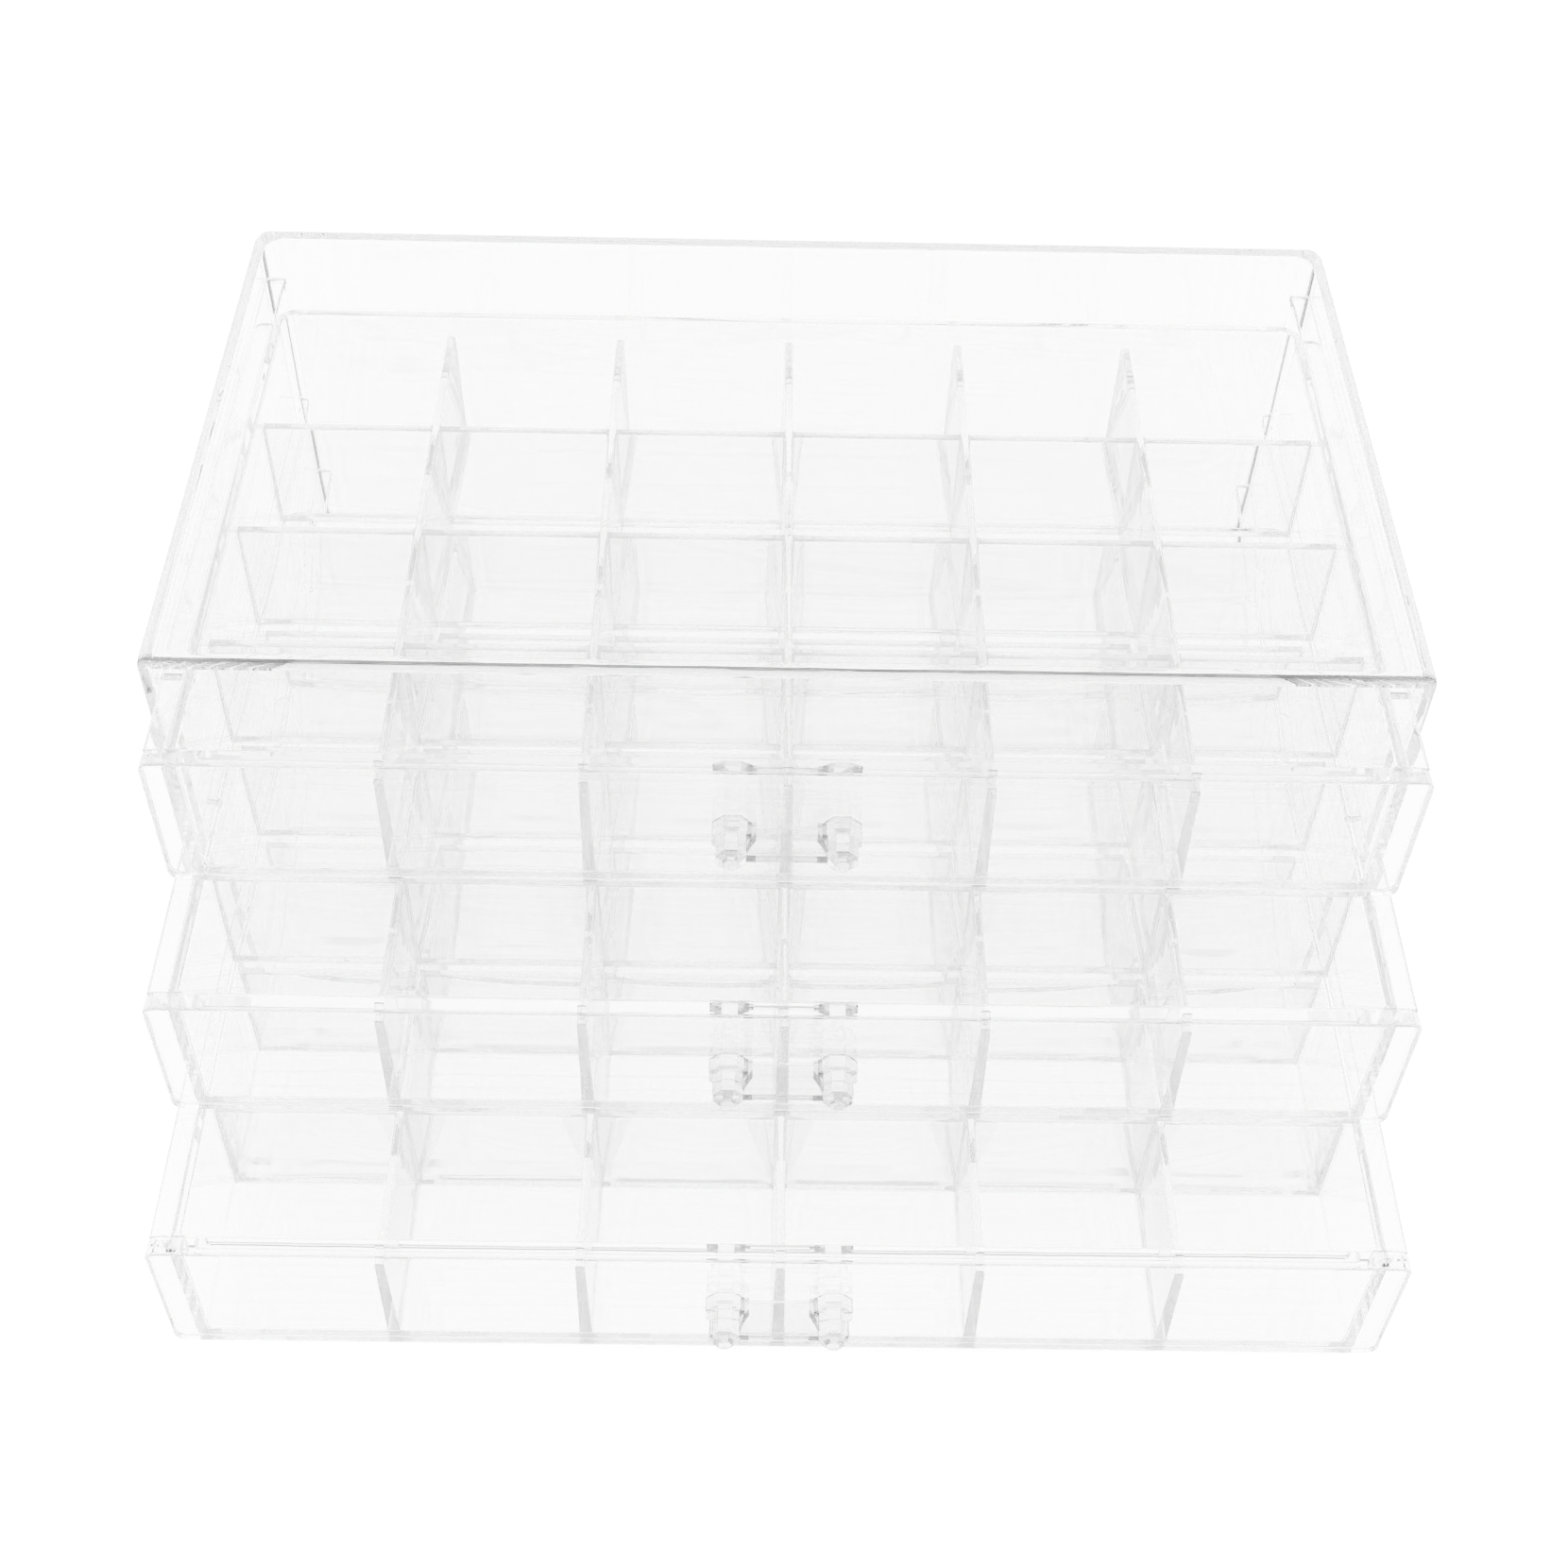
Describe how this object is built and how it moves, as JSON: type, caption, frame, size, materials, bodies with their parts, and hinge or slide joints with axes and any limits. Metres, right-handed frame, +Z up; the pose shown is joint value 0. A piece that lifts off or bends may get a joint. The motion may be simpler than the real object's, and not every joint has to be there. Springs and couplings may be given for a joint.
{
  "type": "nail polish organizer drawers",
  "caption": "Clear box open at the front, with stacked pull-out drawers, each split into small cells by crossed dividers and pulled by a two-post handle.",
  "frame": {"origin": "centre of the case's underside", "axes": "+Z up, +X to the right seen from the front, the open front towards -Y"},
  "size_m": [0.235, 0.2218, 0.108],
  "materials": {
    "clear_plastic": "clear, polished"
  },
  "bodies": {
    "case": {"case_shell": "clear_plastic", "case_base": "clear_plastic", "rail_left_bottom": "clear_plastic", "rail_right_bottom": "clear_plastic", "rail_left_middle": "clear_plastic", "rail_right_middle": "clear_plastic", "rail_left_top": "clear_plastic", "rail_right_top": "clear_plastic"},
    "drawer_bottom": {"drawer_bottom_tray": "clear_plastic", "drawer_bottom_front": "clear_plastic", "drawer_bottom_handle": "clear_plastic", "drawer_bottom_divider_1": "clear_plastic", "drawer_bottom_divider_2": "clear_plastic", "drawer_bottom_divider_3": "clear_plastic", "drawer_bottom_divider_4": "clear_plastic", "drawer_bottom_divider_5": "clear_plastic", "drawer_bottom_cross_1": "clear_plastic", "drawer_bottom_cross_2": "clear_plastic", "drawer_bottom_cross_3": "clear_plastic"},
    "drawer_middle": {"drawer_middle_tray": "clear_plastic", "drawer_middle_front": "clear_plastic", "drawer_middle_handle": "clear_plastic", "drawer_middle_divider_1": "clear_plastic", "drawer_middle_divider_2": "clear_plastic", "drawer_middle_divider_3": "clear_plastic", "drawer_middle_divider_4": "clear_plastic", "drawer_middle_divider_5": "clear_plastic", "drawer_middle_cross_1": "clear_plastic", "drawer_middle_cross_2": "clear_plastic", "drawer_middle_cross_3": "clear_plastic"},
    "drawer_top": {"drawer_top_tray": "clear_plastic", "drawer_top_front": "clear_plastic", "drawer_top_handle": "clear_plastic", "drawer_top_divider_1": "clear_plastic", "drawer_top_divider_2": "clear_plastic", "drawer_top_divider_3": "clear_plastic", "drawer_top_divider_4": "clear_plastic", "drawer_top_divider_5": "clear_plastic", "drawer_top_cross_1": "clear_plastic", "drawer_top_cross_2": "clear_plastic", "drawer_top_cross_3": "clear_plastic"}
  },
  "joints": [
    {"name": "bottom_slide", "type": "slide", "parent": "case", "child": "drawer_bottom", "axis": [0, -1, 0], "range_m": [-0.0785, 0.0165]},
    {"name": "middle_slide", "type": "slide", "parent": "case", "child": "drawer_middle", "axis": [0, -1, 0], "range_m": [-0.048, 0.047]},
    {"name": "top_slide", "type": "slide", "parent": "case", "child": "drawer_top", "axis": [0, -1, 0], "range_m": [-0.019, 0.076]}
  ]
}
